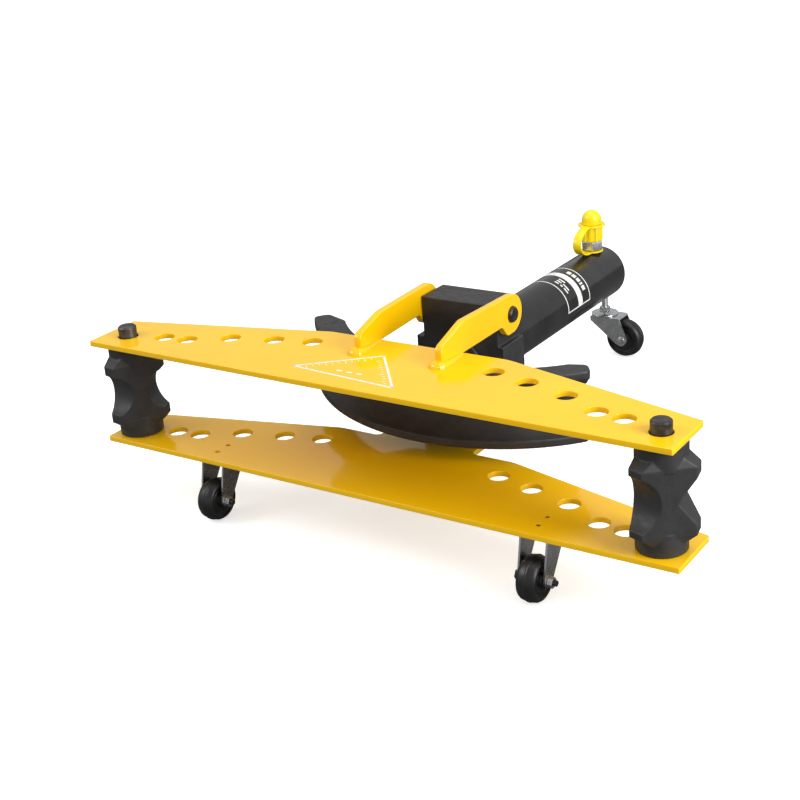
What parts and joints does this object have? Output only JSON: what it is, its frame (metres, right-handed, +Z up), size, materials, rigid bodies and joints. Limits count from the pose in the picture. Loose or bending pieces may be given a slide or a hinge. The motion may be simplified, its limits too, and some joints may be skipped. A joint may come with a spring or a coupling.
{
  "type": "hydraulic pipe bender",
  "caption": "Split pipe bender head: a hydraulic ram drives a crescent former between pinned grooved rollers held by a fixed and a hinged wing plate, on small casters.",
  "frame": {"origin": "on the floor, under the middle of the object's box: x = 0 is the plane through the middle of the cylinder, within 2 mm of the middle of the box", "axes": "+X along the wings, to the right as seen from the roller end; +Y level, from the rollers back to the cylinder's end; +Z up from the floor. The head stands tilted 2.69 degrees about X, cylinder end low."},
  "size_m": [0.6939, 0.5932, 0.2137],
  "materials": {
    "wing_paint": "glossy yellow enamel",
    "cylinder_paint": "glossy black enamel",
    "dark_casting": "satin black over a cast surface",
    "dark_steel": "blackened",
    "ram_chrome": "ground and chromed",
    "zinc_plate": "bright zinc plate",
    "wheel_plastic": "moulded, satin",
    "seal_rubber": "smooth",
    "cap_plastic": "moulded, bright yellow"
  },
  "bodies": {
    "base": {"lower_wing_plate": "wing_paint", "yoke_block": "dark_casting", "cylinder_tube": "cylinder_paint", "cylinder_base": "cylinder_paint", "gland_bush": "dark_steel", "wiper_ring": "seal_rubber", "return_spring": "dark_steel", "hinge_pin": "dark_steel", "block_bolt_front_left": "dark_steel", "block_bolt_front_right": "dark_steel", "block_bolt_rear_left": "dark_steel", "block_bolt_rear_right": "dark_steel", "coupler_nipple": "zinc_plate", "cap_tether": "cap_plastic", "left_caster_bracket": "zinc_plate", "right_caster_bracket": "zinc_plate", "left_caster_screw_front": "dark_steel", "left_caster_screw_rear": "dark_steel", "right_caster_screw_front": "dark_steel", "right_caster_screw_rear": "dark_steel", "left_axle_bolt": "dark_steel", "right_axle_bolt": "dark_steel", "left_axle_nut": "zinc_plate", "right_axle_nut": "zinc_plate", "rear_caster_stem": "zinc_plate", "stem_lock_nut": "zinc_plate", "swivel_race": "zinc_plate"},
    "upper_wing": {"upper_wing_plate": "wing_paint", "left_hinge_arm": "wing_paint", "right_hinge_arm": "wing_paint"},
    "ram": {"ram_rod": "ram_chrome", "ram_nose": "dark_steel", "piston_head": "dark_steel", "piston_seal": "seal_rubber", "piston_circlip": "dark_steel"},
    "former": {"bending_former": "dark_casting"},
    "left_roller": {"left_roller": "dark_casting"},
    "right_roller": {"right_roller": "dark_casting"},
    "left_pin": {"left_roller_pin": "dark_steel"},
    "right_pin": {"right_roller_pin": "dark_steel"},
    "left_wheel": {"left_caster_wheel": "wheel_plastic"},
    "right_wheel": {"right_caster_wheel": "wheel_plastic"},
    "rear_fork": {"rear_caster_fork": "zinc_plate", "rear_axle_rivet": "zinc_plate"},
    "rear_wheel": {"rear_caster_wheel": "wheel_plastic"},
    "cap": {"dust_cap": "cap_plastic"}
  },
  "joints": [
    {"name": "upper_wing_hinge", "type": "hinge", "parent": "base", "child": "upper_wing", "pos_m": [0, -0.04697, 0.18455], "axis": [-1, 0, 0], "range_deg": [0, 105]},
    {"name": "ram_slide", "type": "slide", "parent": "base", "child": "ram", "axis": [0, -0.9989, 0.047], "range_m": [0, 0.25]},
    {"name": "former_draw_off", "type": "slide", "parent": "ram", "child": "former", "axis": [0, -0.9989, 0.047], "range_m": [0, 0.045]},
    {"name": "left_roller_spin", "type": "hinge", "parent": "base", "child": "left_roller", "pos_m": [-0.314, -0.24693, 0.12618], "axis": [0, 0.047, 0.9989], "continuous": true},
    {"name": "right_roller_spin", "type": "hinge", "parent": "base", "child": "right_roller", "pos_m": [0.314, -0.24693, 0.12618], "axis": [0, 0.047, 0.9989], "continuous": true},
    {"name": "left_pin_lift", "type": "slide", "parent": "base", "child": "left_pin", "axis": [0, 0.047, 0.9989], "range_m": [0, 0.14]},
    {"name": "right_pin_lift", "type": "slide", "parent": "base", "child": "right_pin", "axis": [0, 0.047, 0.9989], "range_m": [0, 0.14]},
    {"name": "left_wheel_spin", "type": "hinge", "parent": "base", "child": "left_wheel", "pos_m": [-0.1952, -0.27319, 0.0234], "axis": [1, 0, 0], "continuous": true},
    {"name": "right_wheel_spin", "type": "hinge", "parent": "base", "child": "right_wheel", "pos_m": [0.1952, -0.27319, 0.0234], "axis": [1, 0, 0], "continuous": true},
    {"name": "rear_caster_swivel", "type": "hinge", "parent": "base", "child": "rear_fork", "pos_m": [0, 0.27951, 0.05307], "axis": [0, 0.047, 0.9989], "continuous": true},
    {"name": "rear_wheel_spin", "type": "hinge", "parent": "rear_fork", "child": "rear_wheel", "pos_m": [0.0283, 0.27817, 0.0246], "axis": [0, 0.9989, -0.047], "continuous": true},
    {"name": "dust_cap_lift", "type": "slide", "parent": "base", "child": "cap", "axis": [0, 0.047, 0.9989], "range_m": [0, 0.03], "deforming": ["cap_tether"]}
  ]
}
